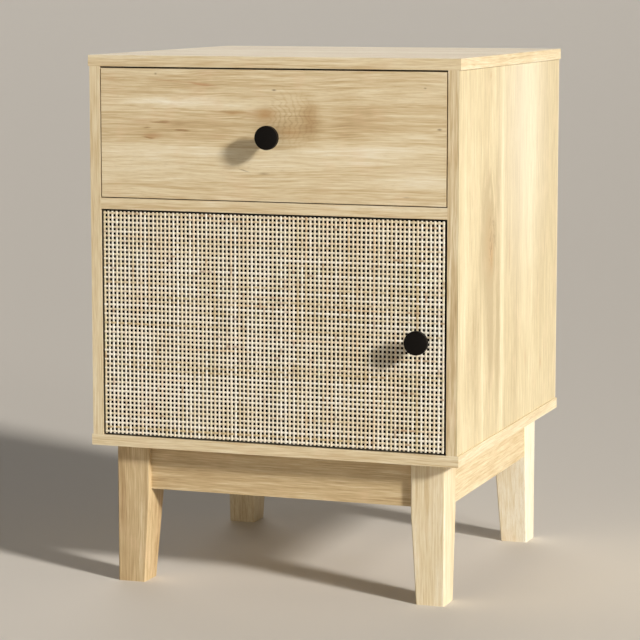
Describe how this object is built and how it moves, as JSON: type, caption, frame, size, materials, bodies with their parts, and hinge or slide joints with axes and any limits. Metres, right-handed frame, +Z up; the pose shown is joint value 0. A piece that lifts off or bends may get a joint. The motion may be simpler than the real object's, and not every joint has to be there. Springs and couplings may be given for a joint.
{
  "type": "nightstand",
  "caption": "Light-oak bedside cabinet on tapered legs, with a pull-out drawer above a cupboard whose door is faced with square-mesh cane.",
  "frame": {"origin": "on the floor, at the centre of the bounding box, knobs included", "axes": "+Z up; -Y is the front, where the drawer and door open; +X is the right-hand side seen from the front"},
  "size_m": [0.4, 0.417, 0.555],
  "materials": {
    "oak_laminate": "satin light oak laminate with printed grain",
    "oak_solid": "satin light oak, straight grain",
    "back_board": "matte hardboard with a light oak print",
    "drawer_box_board": "matte pale board",
    "black_board": "matte black painted board",
    "cane": "natural rattan, satin, square mesh",
    "black_knob": "matte black powder coat",
    "beech_dowel": "bare beech",
    "zinc_screws": "bright zinc plate",
    "cam_zinc": "die-cast zinc",
    "bracket_steel": "zinc-plated sheet",
    "slide_steel": "bright zinc-plated rolled steel",
    "hinge_nickel": "nickel plate",
    "catch_plastic": "moulded white plastic"
  },
  "bodies": {
    "cabinet": {"top_panel": "oak_laminate", "bottom_panel": "oak_laminate", "left_side_panel": "oak_laminate", "right_side_panel": "oak_laminate", "divider_panel": "oak_laminate", "back_panel": "back_board", "cam_bolts": "zinc_screws", "cam_locks": "cam_zinc", "panel_dowels": "beech_dowel", "back_panel_nails": "zinc_screws", "cabinet_wood_screws": "zinc_screws", "front_left_leg": "oak_solid", "front_right_leg": "oak_solid", "rear_left_leg": "oak_solid", "rear_right_leg": "oak_solid", "front_apron": "oak_solid", "rear_apron": "oak_solid", "left_apron": "oak_solid", "right_apron": "oak_solid", "corner_brackets": "bracket_steel", "hanger_bolts": "zinc_screws", "hanger_nuts": "zinc_screws", "apron_screws": "zinc_screws", "left_cabinet_rail": "slide_steel", "right_cabinet_rail": "slide_steel", "cabinet_rail_screws": "zinc_screws", "upper_hinge_arm": "hinge_nickel", "lower_hinge_arm": "hinge_nickel", "upper_hinge_plate": "hinge_nickel", "lower_hinge_plate": "hinge_nickel", "hinge_arm_screws": "zinc_screws", "magnetic_catch": "catch_plastic"},
    "drawer": {"drawer_front": "oak_laminate", "drawer_left_side": "drawer_box_board", "drawer_right_side": "drawer_box_board", "drawer_back": "drawer_box_board", "drawer_bottom": "drawer_box_board", "drawer_cam_bolts": "zinc_screws", "drawer_cam_locks": "cam_zinc", "drawer_box_screws": "zinc_screws", "drawer_knob": "black_knob", "drawer_knob_screw": "zinc_screws", "left_drawer_rail": "slide_steel", "right_drawer_rail": "slide_steel", "drawer_rail_screws": "zinc_screws"},
    "door": {"door_panel": "black_board", "cane_webbing": "cane", "door_knob": "black_knob", "door_knob_screw": "zinc_screws", "upper_hinge_cup": "hinge_nickel", "lower_hinge_cup": "hinge_nickel", "hinge_pins": "hinge_nickel", "door_wood_screws": "zinc_screws", "catch_strike": "hinge_nickel"},
    "left_middle_rail": {"left_middle_rail": "slide_steel"},
    "left_outer_ball_cage": {"left_outer_ball_cage": "slide_steel"},
    "left_inner_ball_cage": {"left_inner_ball_cage": "slide_steel"},
    "right_middle_rail": {"right_middle_rail": "slide_steel"},
    "right_outer_ball_cage": {"right_outer_ball_cage": "slide_steel"},
    "right_inner_ball_cage": {"right_inner_ball_cage": "slide_steel"}
  },
  "joints": [
    {"name": "drawer_slide", "type": "slide", "parent": "cabinet", "child": "drawer", "axis": [0, -1, 0], "range_m": [0, 0.34]},
    {"name": "door_hinge", "type": "hinge", "parent": "cabinet", "child": "door", "pos_m": [-0.173, -0.1799, 0.278], "axis": [0, 0, -1], "range_deg": [0, 95]},
    {"name": "left_middle_rail_slide", "type": "slide", "parent": "cabinet", "child": "left_middle_rail", "axis": [0, -1, 0], "range_m": [0, 0.17]},
    {"name": "left_outer_ball_cage_slide", "type": "slide", "parent": "cabinet", "child": "left_outer_ball_cage", "axis": [0, -1, 0], "range_m": [0, 0.085]},
    {"name": "left_inner_ball_cage_slide", "type": "slide", "parent": "cabinet", "child": "left_inner_ball_cage", "axis": [0, -1, 0], "range_m": [0, 0.255]},
    {"name": "right_middle_rail_slide", "type": "slide", "parent": "cabinet", "child": "right_middle_rail", "axis": [0, -1, 0], "range_m": [0, 0.17]},
    {"name": "right_outer_ball_cage_slide", "type": "slide", "parent": "cabinet", "child": "right_outer_ball_cage", "axis": [0, -1, 0], "range_m": [0, 0.085]},
    {"name": "right_inner_ball_cage_slide", "type": "slide", "parent": "cabinet", "child": "right_inner_ball_cage", "axis": [0, -1, 0], "range_m": [0, 0.255]}
  ],
  "couplings": [
    {"joint": "left_middle_rail_slide", "follows": "drawer_slide", "ratio": 0.5},
    {"joint": "left_outer_ball_cage_slide", "follows": "drawer_slide", "ratio": 0.25},
    {"joint": "left_inner_ball_cage_slide", "follows": "drawer_slide", "ratio": 0.75},
    {"joint": "right_middle_rail_slide", "follows": "drawer_slide", "ratio": 0.5},
    {"joint": "right_outer_ball_cage_slide", "follows": "drawer_slide", "ratio": 0.25},
    {"joint": "right_inner_ball_cage_slide", "follows": "drawer_slide", "ratio": 0.75}
  ]
}
